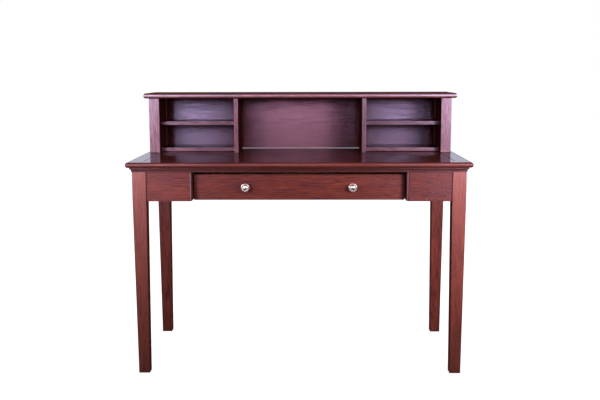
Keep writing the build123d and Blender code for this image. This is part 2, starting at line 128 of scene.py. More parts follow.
# How each part of the figure darkens, from one end of its range to the other
figureShades = {
    "rings": ((0.0, 0.6), (0.15, 1.0), (0.5, 0.3), (0.9, 0.0), (1.0, 0.6)),
    "streaks": ((0.32, 0.0), (0.68, 1.0)),
    "fibres": ((0.36, 0.0), (0.64, 1.0)),
    "pores": ((0.56, 0.0), (0.66, 1.0)),
}
poresInLateWood = 0.2  # as a share of those in early wood
frameHeart = (0.0, 0.031, 0.047)  # from the middle of the frame to the heart, for pieces from the frame


def logPlace(tree, grain):
    # Pieces made here carry their place in the log; a piece from the frame is turned to its grain
    if grain is None:
        return addNode(tree, "Attribute", attribute_name="logPlace").outputs["Vector"]
    turns = {"x": (0, 0, 0), "y": (0, 0, -math.pi / 2), "z": (0, math.pi / 2, 0)}
    values = {
        "Vector": addNode(tree, "TexCoord").outputs["Object"],
        "Rotation": turns[grain],
        "Location": frameHeart,
    }
    return addNode(tree, "Mapping", values).outputs["Vector"]


def woodFigure(tree, place, look):
    sway = noiseOf(tree, place, figureWaves["sway"]).outputs["Color"]
    centred = addNode(tree, "VectorMath", {0: sway, 1: (0.5, 0.5, 0.5)}, operation="SUBTRACT").outputs[0]
    shifted = scaled(tree, centred, (0.0, look["sway"], look["sway"]))
    crossways = scaled(tree, place, (0.0, 1.0, 1.0))
    swayed = addNode(tree, "VectorMath", {0: crossways, 1: shifted}, operation="ADD").outputs[0]
    radius = addNode(tree, "VectorMath", {0: swayed}, operation="LENGTH").outputs["Value"]
    uneven = noiseOf(tree, place, figureWaves["unevenRings"], detail=3.0).outputs["Fac"]
    count = mathsOf(tree, "DIVIDE", radius, look["ringWidth"])
    ring = mathsOf(tree, "FRACT", mathsOf(tree, "MULTIPLY_ADD", uneven, look["unevenRings"], count))
    early = ramp(tree, ring, figureShades["rings"])
    streakNoise = noiseOf(tree, place, figureWaves["streaks"], detail=3.0, roughness=0.55).outputs["Fac"]
    streaks = ramp(tree, streakNoise, figureShades["streaks"])
    fibreNoise = noiseOf(tree, place, look["fibreStretch"]).outputs["Fac"]
    fibres = ramp(tree, fibreNoise, figureShades["fibres"])
    poreNoise = noiseOf(tree, place, figureWaves["pores"], detail=1.0).outputs["Fac"]
    poreShape = ramp(tree, poreNoise, figureShades["pores"])
    poreShare = mathsOf(tree, "MULTIPLY_ADD", early, 1.0 - poresInLateWood, poresInLateWood)
    pores = mathsOf(tree, "MULTIPLY", poreShape, poreShare)
    return {"early": early, "streaks": streaks, "fibres": fibres, "pores": pores}


def wood(name, look, grain=None):
    material, tree, shader = newMaterial(name)
    place = logPlace(tree, grain)
    figure = woodFigure(tree, place, look)
    depth = mathsOf(tree, "MULTIPLY", figure["early"], look["ringContrast"])
    depth = mathsOf(tree, "MULTIPLY_ADD", figure["fibres"], look["fibreContrast"], depth)
    depth = mathsOf(tree, "MULTIPLY_ADD", figure["streaks"], look["streakContrast"], depth)
    colour = mixColours(tree, depth, look["late"], look["early"])
    blotch = noiseOf(tree, place, figureWaves["clouds"]).outputs["Fac"]
    cloud = ramp(tree, blotch, ((0.3, 1.0 - look["cloud"]), (0.7, 1.0 + look["cloud"] * 0.6)))
    colour = mixColours(tree, 1.0, colour, cloud, "MULTIPLY")
    stained = mathsOf(tree, "MULTIPLY", figure["pores"], look["poreStain"])
    colour = mixColours(tree, stained, colour, look["pore"])
    # The board's tone scales its colour; some tones are painted light and shade
    if grain is None:
        toneAndShade = addNode(tree, "Attribute", attribute_name="boardTone").outputs["Color"]
        colour = mixColours(tree, 1.0, colour, toneAndShade, "MULTIPLY")
    tree.links.new(colour, shader.inputs["Base Color"])
    roughness = mathsOf(tree, "MULTIPLY_ADD", figure["fibres"], look["roughnessSpread"], look["roughness"])
    tree.links.new(roughness, shader.inputs["Roughness"])
    hollows = mathsOf(tree, "MULTIPLY", figure["pores"], -1.0)
    height = mathsOf(tree, "MULTIPLY_ADD", figure["early"], -look["ringRelief"], hollows)
    for inputName, strength in (("Normal", 1.0), ("Coat Normal", look["filmRelief"])):
        values = {"Strength": look["relief"] * strength, "Distance": look["poreDepth"], "Height": height}
        tree.links.new(addNode(tree, "Bump", values).outputs["Normal"], shader.inputs[inputName])
    shader.inputs["Specular IOR Level"].default_value = look["specular"]
    sheenLoss = -look["specular"] * look["sheenSpread"]
    if sheenLoss != 0:
        sheen = mathsOf(tree, "MULTIPLY_ADD", figure["fibres"], sheenLoss, look["specular"])
        tree.links.new(sheen, shader.inputs["Specular IOR Level"])
    shader.inputs["IOR"].default_value = look["ior"]
    shader.inputs["Specular Tint"].default_value = look["sheenTint"]
    shader.inputs["Coat Weight"].default_value = look["coat"]
    shader.inputs["Coat Roughness"].default_value = look["coatRoughness"]
    if grain is None:
        # The fibres throw light wide across the grain and hardly along it
        way = addNode(tree, "Attribute", attribute_name="grainWay").outputs["Vector"]
        tree.links.new(way, shader.inputs["Tangent"])
        shader.inputs["Anisotropic"].default_value = look["fibreSpread"]
        shader.inputs["Anisotropic Rotation"].default_value = 0.25
    return material


mahogany = {
    "late": (0.190, 0.036, 0.022, 1.0),
    "early": (0.030, 0.004, 0.005, 1.0),
    "pore": (0.022, 0.005, 0.005, 1.0),
    "ringWidth": 0.0034,
    "sway": 0.030,
    "unevenRings": 1.4,
    "ringContrast": 0.30,
    "fibreStretch": (24.0, 330.0, 330.0),
    "fibreContrast": 0.50,
    "streakContrast": 0.30,
    "cloud": 0.15,
    "poreStain": 0.7,
    "roughness": 0.30,
    "roughnessSpread": 0.06,
    "fibreSpread": 0.3,
    "relief": 0.4,
    "ringRelief": 0.25,
    "poreDepth": 0.25 * mm,
    "filmRelief": 0.25,
    "ior": 1.5,
    "specular": 0.46,
    "sheenSpread": 0.2,
    "sheenTint": (0.92, 0.68, 0.92, 1.0),
    "coat": 0.35,
    "coatRoughness": 0.14,
}
blockLook = {**mahogany, "coat": 1.0, "coatRoughness": 0.10}
edgeLook = {
    **mahogany,
    "late": (0.130, 0.024, 0.0155, 1.0),
    "ringContrast": 0.20,
    "fibreContrast": 0.25,
    "streakContrast": 0.20,
}
legLook = {
    **mahogany,
    "late": (0.190, 0.036, 0.020, 1.0),
    "early": (0.067, 0.011, 0.008, 1.0),
    "fibreContrast": 0.40,
    "roughness": 0.40,
    "fibreSpread": 0.2,
    "specular": 1.0,
    "sheenTint": (1.0, 0.58, 0.66, 1.0),
}
legSideLook = {**legLook, "specular": 0.0, "coat": 0.0}
hutchLook = {
    **legLook,
    "fibreContrast": 0.60,
    "late": (0.155, 0.029, 0.020, 1.0),
    "early": (0.040, 0.006, 0.006, 1.0),
    "roughness": 0.30,
    "roughnessSpread": 0.12,
    "sheenSpread": 0.5,
    "sheenTint": (0.76, 0.62, 0.95, 1.0),
}
hutchTopLook = {
    **hutchLook,
    "roughness": 0.38,
    "ior": 1.7,
    "sheenSpread": 0.3,
    "sheenTint": (0.80, 0.66, 1.0, 1.0),
    "coat": 0.6,
    "coatRoughness": 0.35,
}
veneerLook = {
    **mahogany,
    "late": (0.042, 0.008, 0.007, 1.0),
    "early": (0.016, 0.003, 0.003, 1.0),
    "ringWidth": 0.0046,
    "sway": 0.045,
    "roughness": 0.165,
    "roughnessSpread": 0.075,
    "fibreStretch": (12.0, 200.0, 200.0),
    "fibreSpread": 1.0,
    "relief": 0.1,
    "ior": 1.85,
    "specular": 1.0,
    "sheenSpread": 0.30,
    "sheenTint": (0.82, 0.635, 0.945, 1.0),
    "coat": 0.0,
}
# Faces inside the hutch and under its boards: the veneer darkened and without gloss, as painted shade
paintedShadeLook = {
    **veneerLook,
    "late": (0.036, 0.007, 0.007, 1.0),
    "early": (0.018, 0.004, 0.004, 1.0),
    "roughness": 0.5,
    "fibreSpread": 0.0,
    "specular": 0.0,
}
desktopLook = {
    **veneerLook,
    "late": (0.070, 0.015, 0.014, 1.0),
    "early": (0.036, 0.008, 0.008, 1.0),
    "roughness": 0.45,
    "fibreSpread": 0.0,
    "specular": 0.0,
    "coat": 0.34,
    "coatRoughness": 0.07,
}
topFaceLook = {**desktopLook, "coat": 0.08, "coatRoughness": 0.20}
innerLook = {**mahogany, "roughness": 0.5, "coat": 0.0, "specular": 0.4}
paleLook = {
    **mahogany,
    "late": (0.52, 0.33, 0.18, 1.0),
    "early": (0.36, 0.20, 0.10, 1.0),
    "pore": (0.16, 0.09, 0.05, 1.0),
    "sheenTint": (1.0, 1.0, 1.0, 1.0),
    "specular": 0.5,
    "roughness": 0.5,
    "coat": 0.0,
}
stainedWood = wood("stainedWood", mahogany)
blockWood = wood("blockWood", blockLook)
edgeWood = wood("edgeWood", edgeLook)
legWood = wood("legWood", legLook)
legSideWood = wood("legSideWood", legSideLook)
hutchWood = wood("hutchWood", hutchLook)
hutchTopWood = wood("hutchTopWood", hutchTopLook)
desktopWood = wood("desktopVeneer", desktopLook)
topFaceWood = wood("topFaceWood", topFaceLook)
panelWood = wood("backPanelVeneer", veneerLook)
paintedShadeWood = wood("innerSideVeneer", paintedShadeLook)
innerWood = {grain: wood("innerWood" + grain.upper(), innerLook, grain) for grain in "xyz"}
paleWood = {grain: wood("paleWood" + grain.upper(), paleLook, grain) for grain in "xyz"}


nickelLook = {
    "colour": (0.66, 0.57, 0.54),
    "wornShade": 0.82,
    "wearWaves": (90.0, 90.0, 90.0),
    "roughness": 0.26,
    "roughnessSpread": 0.12,
    "spotWaves": (400.0, 400.0, 400.0),
    "relief": 0.15,
    "spotDepth": 0.1 * mm,
}
steelLook = {
    **nickelLook,
    "colour": (0.55, 0.54, 0.50),
    "roughness": 0.25,
    "spotWaves": (900.0, 900.0, 900.0),
}


def metal(name, look):
    material, tree, shader = newMaterial(name)
    place = addNode(tree, "TexCoord").outputs["Object"]
    wear = noiseOf(tree, place, look["wearWaves"], detail=3.0).outputs["Fac"]
    spots = noiseOf(tree, place, look["spotWaves"]).outputs["Fac"]
    worn = tuple(part * look["wornShade"] for part in look["colour"])
    tree.links.new(ramp(tree, wear, ((0.3, worn), (0.7, look["colour"]))), shader.inputs["Base Color"])
    roughness = mathsOf(tree, "MULTIPLY_ADD", spots, look["roughnessSpread"], look["roughness"])
    tree.links.new(roughness, shader.inputs["Roughness"])
    bump = addNode(tree, "Bump", {"Strength": look["relief"], "Distance": look["spotDepth"], "Height": spots})
    tree.links.new(bump.outputs["Normal"], shader.inputs["Normal"])
    shader.inputs["Metallic"].default_value = 1.0
    return material


satinNickel = metal("satinNickel", nickelLook)
screwSteel = metal("screwSteel", steelLook)
print("materials ready")


# Making pieces

closeBy = 0.01 * mm
sameWay = 0.9  # least cosine between two directions that count as one
smoothWithin = 35  # degrees between faces that still shade as one
boardCorner = 60  # degrees: a steeper edge is the corner of a plain board
profileCorner = 40  # the same on a board with a curved section
logSizes = {
    "length": 40.0,  # in metres, of timber to cut from
    "heartBeyond": (0.035, 0.075),  # from the board's middle, through its thickness
    "heartAside": (-0.020, 0.020),
}
logCount = 0
# Each board's colour is scaled a little lighter or darker, 1.0 where it isn't named: partly the stain's own
# tone from board to board, partly painted light and shade, as on the mouldings, darkened as in the nose's
# shadow, and the rear legs, darkened or lightened by how the lamps reach them under the desktop
boardTonesAndShade = {
    "frontBlockLeft": 1.22,
    "frontBlockRight": 0.96,
    "drawerFront": 1.01,
    "legFrontRight": 1.22,
    "legRearLeft": 0.86,
    "legRearRight": 1.32,
    "hutchDividerLeft": 0.80,
    "hutchDividerRight": 0.60,
    "middleShelfLeft": 0.60,
    "middleShelfRight": 0.50,
    "bottomShelfLeft": 0.80,
    "bottomShelfRight": 0.70,
    "mouldingFront": 0.52,
    "mouldingLeft": 0.52,
    "mouldingRight": 0.52,
}


def layInLog(mesh, grain):
    # Each board is sawn from its own place in a log: along the grain, then across it on both sides
    global logCount
    logCount += 1
    draw = random.Random(logCount)
    order = {"x": (0, 1, 2), "y": (1, 2, 0), "z": (2, 0, 1)}[grain]
    corners = [vertex.co for vertex in mesh.vertices]
    middles = [(min(c[axis] for c in corners) + max(c[axis] for c in corners)) / 2 for axis in range(3)]
    start = draw.uniform(0.0, logSizes["length"])
    heart = (draw.uniform(*logSizes["heartBeyond"]), draw.uniform(*logSizes["heartAside"]))
    spans = [max(c[axis] for c in corners) - min(c[axis] for c in corners) for axis in range(3)]
    thin = order[1] if spans[order[1]] < spans[order[2]] else order[2]
    across = heart if order[1] == thin else heart[::-1]
    attribute = mesh.attributes.new("logPlace", "FLOAT_VECTOR", "POINT")
    for corner, item in zip(corners, attribute.data):
        local = [corner[axis] - middles[axis] for axis in order]
        item.vector = (local[0] + start, local[1] + across[0], local[2] + across[1])
    grainWay = mesh.attributes.new("grainWay", "FLOAT_VECTOR", "POINT")
    boardTone = mesh.attributes.new("boardTone", "FLOAT_VECTOR", "POINT")
    # Its tone, partly painted light and shade, goes on every point
    toneAndShade = boardTonesAndShade.get(mesh.name, 1.0)
    leaning = [1.0 if axis == order[0] else 0.013 for axis in range(3)]  # never square to a face
    for way, shade in zip(grainWay.data, boardTone.data):
        way.vector = leaning
        shade.vector = (toneAndShade, toneAndShade, toneAndShade)


def finishPiece(bm, name, material, body, replaced, grain=None, faced=None):
    # faced gives another wood to the faces that look a certain way
    low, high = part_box(replaced[0])
    for vertex in bm.verts:  # easing can push a mitred corner out by a few hundredths of a millimetre
        vertex.co = [min(max(place, least), most) for place, least, most in zip(vertex.co, low, high)]
    bmesh.ops.recalc_face_normals(bm, faces=bm.faces)
    mesh = bpy.data.meshes.new(name)
    bm.to_mesh(mesh)
    bm.free()
    mesh.shade_smooth()
    mesh.set_sharp_from_angle(angle=math.radians(smoothWithin))
    if grain:
        layInLog(mesh, grain)
    mesh.materials.append(material)
    for way, faceWood in (faced or {}).items():
        mesh.materials.append(faceWood)
        for face in mesh.polygons:
            if face.normal.dot(Vector(way)) > sameWay:
                face.material_index = len(mesh.materials) - 1
    piece = bpy.data.objects.new(name, mesh)
    bpy.context.scene.collection.objects.link(piece)
    weighted = piece.modifiers.new("flatFaces", "WEIGHTED_NORMAL")
    weighted.weight = 100
    weighted.keep_sharp = True
    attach(piece, body)
    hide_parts(*replaced)


def ease(bm, edges, radius, segments=3):
    bmesh.ops.bevel(
        bm,
        geom=list(edges),
        offset=radius,
        offset_type="OFFSET",
        segments=segments,
        profile=0.5,
        affect="EDGES",
        material=-1,
        clamp_overlap=True,
    )


def sharpEdges(bm, degrees):
    least = math.radians(degrees)
    return [e for e in bm.edges if len(e.link_faces) == 2 and e.calc_face_angle(0.0) > least]


def blockOf(low, high):
    low, high = Vector(low), Vector(high)
    bm = bmesh.new()
    bmesh.ops.create_cube(bm, size=1.0)
    bmesh.ops.scale(bm, vec=high - low, verts=bm.verts)
    bmesh.ops.translate(bm, vec=(low + high) / 2, verts=bm.verts)
    return bm


def edgesAt(bm, along, **at):
    # Edges along one axis whose middle lies at the given places, each for its own axis
    axes = {"x": 0, "y": 1, "z": 2}
    found = []
    for edge in bm.edges:
        first, last = (vertex.co for vertex in edge.verts)
        middle = (first + last) / 2
        runsAlong = abs((first - last).normalized()[axes[along]]) > sameWay
        if runsAlong and all(abs(middle[axes[axis]] - place) < closeBy for axis, place in at.items()):
            found.append(edge)
    return found


def plainBoard(
    name, low, high, grain, easing, nodes, material=stainedWood, slot="stained_wood", faced=None
):
    bm = blockOf(low, high)
    ease(bm, bm.edges, easing)
    finishPiece(bm, name, material, "desk", nodes, grain, faced)


def camel(*words):
    joined = "_".join(words).split("_")
    return joined[0] + "".join(word.capitalize() for word in joined[1:])


# Legs: square above the aprons' lower edges, tapered below

legSizes = {
    "foot": 40 * mm,
    "rounding": 2.2 * mm,
    "footBevel": 1 * mm,
}
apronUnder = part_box("side_apron_left")[0].z

for endName in ("front", "rear"):
    for sideName, side in sides:
        node = f"leg_{endName}_{sideName}"
        low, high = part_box(node)
        bm = blockOf((low.x, low.y, apronUnder), high)
        under = [face for face in bm.faces if face.normal.z < -sameWay]
        grown = bmesh.ops.extrude_face_region(bm, geom=under)
        tip = [item for item in grown["geom"] if isinstance(item, bmesh.types.BMVert)]
        bmesh.ops.delete(bm, geom=under, context="FACES_ONLY")
        centre = (low + high) / 2
        share = legSizes["foot"] / (high.x - low.x)
        bmesh.ops.translate(bm, vec=(0, 0, low.z - apronUnder), verts=tip)
        bmesh.ops.scale(bm, vec=(share, share, 1), space=Matrix.Translation(-centre), verts=tip)
        upright = [e for e in bm.edges if abs((e.verts[0].co - e.verts[1].co).normalized().z) > sameWay]
        ease(bm, upright, legSizes["rounding"], 4)
        rims = [e for e in sharpEdges(bm, boardCorner) if abs(e.verts[0].co.z - e.verts[1].co.z) < closeBy]
        ease(bm, rims, legSizes["footBevel"], 2)
        # The rear legs take the darker, less glossy stain as painted shade under the desktop
        material = legWood if endName == "front" else stainedWood
        innerFace = {(-side, 0, 0): legSideWood}
        finishPiece(bm, camel(node), material, "desk", [node], "z", innerFace)
print("legs made")


# Side aprons, front blocks and rear apron, each as long as it shows between the legs

apronSizes = {
    "easing": 1.2 * mm,
    "blockRound": 10 * mm,
}

for sideName, side in sides:
    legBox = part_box(f"leg_front_{sideName}")
    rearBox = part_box(f"leg_rear_{sideName}")
    low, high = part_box(f"side_apron_{sideName}")
    plainBoard(
        camel("side_apron", sideName),
        (low.x, legBox[1].y, low.z),
        (high.x, rearBox[0].y, high.z),
        "y",
        apronSizes["easing"],
        [f"side_apron_{sideName}"],
    )
    node = f"front_block_{sideName}"
    low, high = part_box(node)
    if side < 0:
        low.x = legBox[1].x
        roundX = high.x
    else:
        high.x = legBox[0].x
        roundX = low.x
    bm = blockOf(low, high)
    ease(bm, edgesAt(bm, "z", x=roundX, y=low.y), apronSizes["blockRound"], 10)
    ease(bm, sharpEdges(bm, boardCorner), apronSizes["easing"], 3)
    finishPiece(bm, camel(node), blockWood, "desk", [node], "x")

low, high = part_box("rear_apron")
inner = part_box("leg_rear_right")[0].x
plainBoard(
    "rearApron",
    (-inner, low.y, low.z),
    (inner, high.y, high.z),
    "x",
    apronSizes["easing"],
    ["rear_apron"],
)
print("base made")


# Desktop: mitred border boards with a round nose, a panel between them and a coved build-up below

desktopSizes = {
    "nose": 9 * mm,
    "rearEase": 2 * mm,
    "groove": 1.5 * mm,
    "jointEasing": 0.25 * mm,
    "noseSteps": 9,
    "coveRadius": 5.5 * mm,
    "coveBase": 5 * mm,
    "mouldingEasing": 0.5 * mm,
}


def arcPoints(centre, radius, startDegrees, endDegrees, steps):
    points = []
    for step in range(steps + 1):
        angle = math.radians(startDegrees + (endDegrees - startDegrees) * step / steps)
        points.append((centre[0] + radius * math.cos(angle), centre[1] + radius * math.sin(angle)))
    return points


def cutAway(bm, place, outwards):
    # Cuts off what lies past a plane and closes the cut
    bmesh.ops.bisect_plane(
        bm,
        geom=list(bm.verts) + list(bm.edges) + list(bm.faces),
        plane_co=place,
        plane_no=outwards,
        clear_outer=True,
    )
    bmesh.ops.holes_fill(bm, edges=[e for e in bm.edges if e.is_boundary])


def mitredBar(section, low, high, base, sideIndex):
    # A bar whose section runs along one side of the rectangle from low to high, with mitred ends
    corners = [Vector((low[0], low[1])), Vector((high[0], low[1])), Vector(high), Vector((low[0], high[1]))]
    start, end = corners[sideIndex], corners[(sideIndex + 1) % 4]
    along = (end - start).normalized()
    inward = Vector((-along.y, along.x))
    bm = bmesh.new()
    outline = [bm.verts.new((*(start + inward * depth), base + rise)) for depth, rise in section]
    face = bm.faces.new(outline)
    grown = bmesh.ops.extrude_face_region(bm, geom=[face], use_keep_orig=True)
    far = [item for item in grown["geom"] if isinstance(item, bmesh.types.BMVert)]
    bmesh.ops.translate(bm, vec=(*(end - start), 0), verts=far)
    for corner, outwards in ((start, inward - along), (end, inward + along)):
        cutAway(bm, (*corner, 0), (*outwards, 0))
    return bm


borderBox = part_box("desktop_border_left")
width = borderBox[1].x - borderBox[0].x
topLow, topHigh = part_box("desktop_border_front")[0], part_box("desktop_border_rear")[1]
thickness = topHigh.z - topLow.z
nose = desktopSizes["nose"]
groove = desktopSizes["groove"]


def borderSection(radius):
    return (
        [(width, 0.0)]
        + arcPoints((radius, radius), radius, -90, -180, desktopSizes["noseSteps"])
        + arcPoints((radius, thickness - radius), radius, 180, 90, desktopSizes["noseSteps"])
        + [(width - groove, thickness), (width, thickness - groove)]
    )


for index, sideName in enumerate(("front", "right", "rear", "left")):
    radius = desktopSizes["rearEase"] if sideName == "rear" else nose
    node = f"desktop_border_{sideName}"
    bm = mitredBar(borderSection(radius), topLow.xy, topHigh.xy, topLow.z, index)
    ease(bm, sharpEdges(bm, profileCorner), desktopSizes["jointEasing"], 2)
    grain = "x" if sideName in ("front", "rear") else "y"
    finishPiece(bm, camel(node), edgeWood, "desk", [node], grain, {(0, 0, 1): desktopWood})

panelLow = Vector((topLow.x + width, topLow.y + width, topLow.z))
panelHigh = Vector((topHigh.x - width, topHigh.y - width, topHigh.z))
bm = blockOf(panelLow, panelHigh)
upper = [e for e in bm.edges if all(v.co.z > panelHigh.z - mm for v in e.verts)]
ease(bm, upper, groove, 1)
finishPiece(bm, "desktopPanel", desktopWood, "desk", ["desktop_panel"], "x")

buildLow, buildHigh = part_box("moulding_front")[0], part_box("moulding_right")[1]
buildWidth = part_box("moulding_front")[1].y - buildLow.y
buildHeight = buildHigh.z - buildLow.z
cove, coveBase = desktopSizes["coveRadius"], desktopSizes["coveBase"]
coveSection = (
    [(buildWidth, 0.0), (cove, 0.0)]
    + arcPoints((0.0, coveBase), cove, 0, 90, desktopSizes["noseSteps"])
    + [(0.0, buildHeight), (buildWidth, buildHeight)]
)
for index, sideName in ((0, "front"), (1, "right"), (3, "left")):
    node = f"moulding_{sideName}"
    farCorner = (buildHigh.x, buildHigh.y + buildWidth)
    bm = mitredBar(coveSection, buildLow.xy, farCorner, buildLow.z, index)
    if sideName != "front":
        cutAway(bm, (0, buildHigh.y, 0), (0, 1, 0))
    ease(bm, sharpEdges(bm, profileCorner), desktopSizes["mouldingEasing"], 2)
    finishPiece(bm, camel(node), edgeWood, "desk", [node], "x" if index == 0 else "y")
print("desktop made")


# Drawer front

drawerSizes = {
    "frontEasing": 2 * mm,
}
low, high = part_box("drawer_front")
bm = blockOf(low, high)
ease(bm, bm.edges, drawerSizes["frontEasing"], 4)
finishPiece(bm, "drawerFront", stainedWood, "drawer", ["drawer_front"], "x")


# Knobs: turned metal, a ring round a low dome on a flared neck

knobSizes = {
    "baseRadius": 8 * mm,
    "baseHeight": 2 * mm,
    "neckRadius": 5 * mm,
    "neckStart": 4 * mm,
    "flareStart": 9 * mm,
    "flareSteps": 10,
    "ringUnder": 17 * mm,
    "ringFace": 21 * mm,
    "ringWidth": 3.5 * mm,
    "ringRound": 1.4 * mm,
    "grooveWidth": 1.5 * mm,
    "grooveDepth": 2 * mm,
    "outerSteps": 6,
    "innerSteps": 5,
    "domeSteps": 14,
    "turns": 72,
}


def knobOutline(radius, projection):
    # From the middle of the foot, up the neck, over the ring and the groove to the top of the dome
    neck, ringUnder, ringFace = knobSizes["neckRadius"], knobSizes["ringUnder"], knobSizes["ringFace"]
    ringIn = radius - knobSizes["ringWidth"]
    domeRadius = ringIn - knobSizes["grooveWidth"]
    grooveFloor = ringFace - knobSizes["grooveDepth"]
    rise = projection - grooveFloor
    domeCurve = (domeRadius**2 + rise**2) / (2 * rise)
    domeAngle = math.degrees(math.asin(domeRadius / domeCurve))
    foot = [(0.0, 0.0), (knobSizes["baseRadius"], 0.0), (knobSizes["baseRadius"], knobSizes["baseHeight"])]
    flare = []
    flareHeight = ringUnder - knobSizes["flareStart"]
    for step in range(knobSizes["flareSteps"] + 1):
        angle = math.radians(step * 90 / knobSizes["flareSteps"])
        across = radius - (radius - neck) * math.cos(angle)
        flare.append((across, knobSizes["flareStart"] + flareHeight * math.sin(angle)))
    turn = knobSizes["ringRound"]
    return (
        foot
        + [(neck, knobSizes["neckStart"])]
        + flare
        + arcPoints((radius - turn, ringFace - turn), turn, 0, 90, knobSizes["outerSteps"])
        + arcPoints((ringIn + turn / 2, ringFace - turn / 2), turn / 2, 90, 180, knobSizes["innerSteps"])
        + [(ringIn, grooveFloor)]
        + arcPoints((0.0, projection - domeCurve), domeCurve, 90 - domeAngle, 90, knobSizes["domeSteps"])
    )


for node in ("knob_left", "knob_right"):
    low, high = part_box(node)
    centre = (low + high) / 2
    bm = bmesh.new()
    outline = knobOutline((high.x - low.x) / 2, high.y - low.y)
    line = [bm.verts.new((centre.x + r, high.y - y, centre.z)) for r, y in outline]
    edges = [bm.edges.new(pair) for pair in zip(line, line[1:])]
    bmesh.ops.spin(
        bm,
        geom=line + edges,
        cent=centre,
        axis=(0, 1, 0),
        angle=math.tau,
        steps=knobSizes["turns"],
        use_merge=True,
    )
    bmesh.ops.remove_doubles(bm, verts=bm.verts, dist=closeBy)
    finishPiece(bm, camel(node), satinNickel, "drawer", [node])
print("drawer made")


# Hutch: posts, side panels, dividers, shelves, back and top board

hutchSizes = {
    "postEasing": 1.5 * mm,
    "shelfEasing": 1.3 * mm,
    "dividerEasing": 1.4 * mm,
    "panelEasing": 0.6 * mm,
    "nose": 9 * mm,
    "rearEase": 1 * mm,
}

# Inner faces of the posts and side panels, the rear posts' fronts, both faces of each divider and the
# shelves' undersides take the darkened veneer of painted shade
for sideName, side in sides:
    for endName in ("front", "rear"):
        node = f"hutch_post_{endName}_{sideName}"
        inward = {(-side, 0, 0): paintedShadeWood}
        if endName == "rear":
            inward[0, -1, 0] = paintedShadeWood
        easing = hutchSizes["postEasing"]
        plainBoard(camel(node), *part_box(node), "z", easing, [node], hutchWood, faced=inward)
    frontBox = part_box(f"hutch_post_front_{sideName}")
    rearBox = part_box(f"hutch_post_rear_{sideName}")
    node = f"hutch_side_{sideName}"
    low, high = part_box(node)
    low.y, high.y = frontBox[1].y, rearBox[0].y
    inward = {(-side, 0, 0): paintedShadeWood}
    plainBoard(camel(node), low, high, "z", hutchSizes["panelEasing"], [node], faced=inward)
    node = f"hutch_divider_{sideName}"
    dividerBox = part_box(node)
    bm = blockOf(*dividerBox)
    ease(bm, bm.edges, hutchSizes["dividerEasing"], 3)
    flats = {(1, 0, 0): paintedShadeWood, (-1, 0, 0): paintedShadeWood}
    finishPiece(bm, camel(node), hutchWood, "desk", [node], "z", flats)
    for shelfName in ("middle", "bottom"):
        node = f"{shelfName}_shelf_{sideName}"
        low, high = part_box(node)
        if side < 0:
            low.x, high.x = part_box(f"hutch_side_{sideName}")[1].x, dividerBox[0].x
        else:
            low.x, high.x = dividerBox[1].x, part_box(f"hutch_side_{sideName}")[0].x
        bm = blockOf(low, high)
        ease(bm, bm.edges, hutchSizes["shelfEasing"], 3)
        flats = {(0, 0, 1): desktopWood, (0, 0, -1): paintedShadeWood}
        finishPiece(bm, camel(node), hutchWood, "desk", [node], "x", flats)

plainBoard(
    "hutchBack",
    *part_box("hutch_back"),
    "x",
    hutchSizes["panelEasing"],
    ["hutch_back"],
    stainedWood,
    "back_panel",
    {(0, -1, 0): panelWood},
)

low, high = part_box("hutch_top")
bm = blockOf(low, high)
nosed = edgesAt(bm, "x", y=low.y) + edgesAt(bm, "y")
ease(bm, nosed, hutchSizes["nose"], 9)
ease(bm, sharpEdges(bm, boardCorner), hutchSizes["rearEase"], 2)
# The top's underside takes the darkened veneer of painted shade
flats = {(0, 0, 1): topFaceWood, (0, 0, -1): paintedShadeWood}
finishPiece(bm, "hutchTop", hutchTopWood, "desk", ["hutch_top"], "x", flats)
print("hutch made")


# Frame pieces that keep their own shape

frameFinishes = {
    "buildup_rear": innerWood["x"],
    "partition_left": innerWood["y"],
    "partition_right": innerWood["y"],
    "drawer_runner_left": innerWood["y"],
    "drawer_runner_right": innerWood["y"],
    "drawer_stop_blocks": innerWood["x"],
    "drawer_stop_tabs": innerWood["z"],
    "drawer_side_left": paleWood["y"],
    "drawer_side_right": paleWood["y"],
    "drawer_back": paleWood["x"],
    "drawer_bottom": paleWood["x"],
    "hutch_dowels": paleWood["z"],
    "hutch_top_dowels": paleWood["z"],
    "knob_screws": screwSteel,
    "desktop_screws": screwSteel,
    "runner_screws": screwSteel,
    "back_screws": screwSteel,
}
frameFinishes.update((node, innerWood["x"]) for node in cadNodes if node.startswith("corner_brace"))
for node, material in frameFinishes.items():
    piece = cadNodes[node]
    piece.data.materials.clear()
    piece.data.materials.append(material)
print("frame pieces finished")


# Studio: a soft lamp on each side in front, a pale floor and white surroundings

white = (1.0, 1.0, 1.0, 1.0)
boxColour = (0.84, 0.84, 1.0, 1.0)

lampSettings = {
    "colour": (1.0, 0.97, 0.98),
    "width": 0.55,
    "height": 0.8,
    "spread": 60,
    "lampLeft": {"place": (-1.40, -1.80, 1.20), "aim": (-0.56, -0.1, 0.9), "power": 7.0},
    "lampRight": {"place": (1.38, -1.80, 1.20), "aim": (0.54, -0.1, 0.9), "power": 9.8},
}


def softLamp(name):
    own = lampSettings[name]
    lamp = bpy.data.lights.new(name, "AREA")
    lamp.shape = "RECTANGLE"
    lamp.size = lampSettings["width"]
    lamp.size_y = lampSettings["height"]
    lamp.spread = math.radians(lampSettings["spread"])
    lamp.energy = own["power"]
    lamp.color = lampSettings["colour"]
    stand = bpy.data.objects.new(name, lamp)
    stand.location = own["place"]
    stand.rotation_euler = (Vector(own["aim"]) - Vector(own["place"])).to_track_quat("-Z", "Y").to_euler()
    stand.visible_camera = False
    bpy.context.scene.collection.objects.link(stand)


softLamp("lampLeft")
softLamp("lampRight")


def between(tree, value, start, end):
    values = {"Value": value, "From Min": start, "From Max": end}
    return addNode(tree, "MapRange", values, interpolation_type="SMOOTHSTEP").outputs["Result"]


